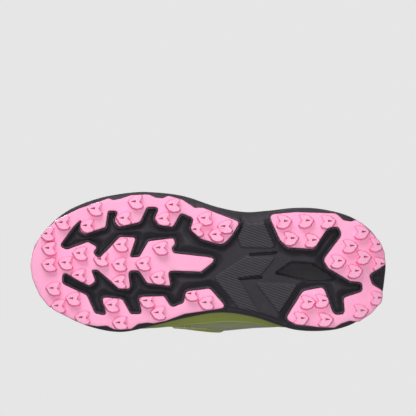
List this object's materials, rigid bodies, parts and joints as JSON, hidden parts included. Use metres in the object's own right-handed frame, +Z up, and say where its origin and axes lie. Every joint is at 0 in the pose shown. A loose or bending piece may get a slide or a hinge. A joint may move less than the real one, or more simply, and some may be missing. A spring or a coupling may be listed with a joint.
{
  "type": "running shoe",
  "caption": "Left trail running shoe with a lugged pink rubber tread, black foam midsole, lime mesh upper, tied lace and hinged tongue.",
  "frame": {"origin": "on the ground under the middle of the shoe's bounding box", "axes": "+Z up, the toe points along -Y, the outer side of the foot faces +X"},
  "size_m": [0.1134, 0.2854, 0.1279],
  "materials": {
    "pink_rubber": "satin",
    "black_foam": "matte",
    "lime_mesh": "matte",
    "lime_film": "satin",
    "black_film": "satin",
    "grey_fabric": "matte",
    "insole_fabric": "matte",
    "board_felt": "matte",
    "lace_yarn": "matte",
    "clear_tip": "gloss"
  },
  "bodies": {
    "shoe": {"outsole_forefoot": "pink_rubber", "outsole_heel": "pink_rubber", "midsole": "black_foam", "strobel_board": "board_felt", "upper_mesh": "lime_mesh", "toe_cap": "black_film", "heel_counter": "black_film", "rand_lateral": "lime_film", "rand_medial": "lime_film", "eyestay_lateral": "lime_film", "eyestay_medial": "lime_film", "saddle_lateral": "lime_film", "saddle_medial": "lime_film", "collar_foam": "grey_fabric", "collar_lining": "grey_fabric", "lace": "lace_yarn", "aglet_lateral": "clear_tip", "aglet_medial": "clear_tip", "lace_loop_lateral_1": "lime_film", "lace_loop_medial_1": "lime_film", "lace_loop_lateral_2": "lime_film", "lace_loop_medial_2": "lime_film", "lace_loop_lateral_3": "lime_film", "lace_loop_medial_3": "lime_film", "lace_loop_lateral_4": "lime_film", "lace_loop_medial_4": "lime_film", "lace_loop_lateral_5": "lime_film", "lace_loop_medial_5": "lime_film", "lace_loop_lateral_6": "lime_film", "lace_loop_medial_6": "lime_film"},
    "insole": {"sockliner": "insole_fabric"},
    "tongue_body": {"tongue": "grey_fabric", "tongue_tab": "lime_film"},
    "pull_loop": {"heel_pull_loop": "lime_film"}
  },
  "joints": [
    {"name": "insole_lift", "type": "hinge", "parent": "shoe", "child": "insole", "pos_m": [0.0004, -0.1322, 0.0352], "axis": [1, 0, 0], "range_deg": [0, 2.5]},
    {"name": "tongue_hinge", "type": "hinge", "parent": "shoe", "child": "tongue_body", "pos_m": [0.0004, -0.0662, 0.0582], "axis": [1, 0, 0], "range_deg": [-6, 0]},
    {"name": "pull_loop_bend", "type": "hinge", "parent": "shoe", "child": "pull_loop", "pos_m": [0.0004, 0.1318, 0.1028], "axis": [1, 0, 0], "range_deg": [-50, 8], "stiffness_Nm_per_rad": 0.004}
  ]
}
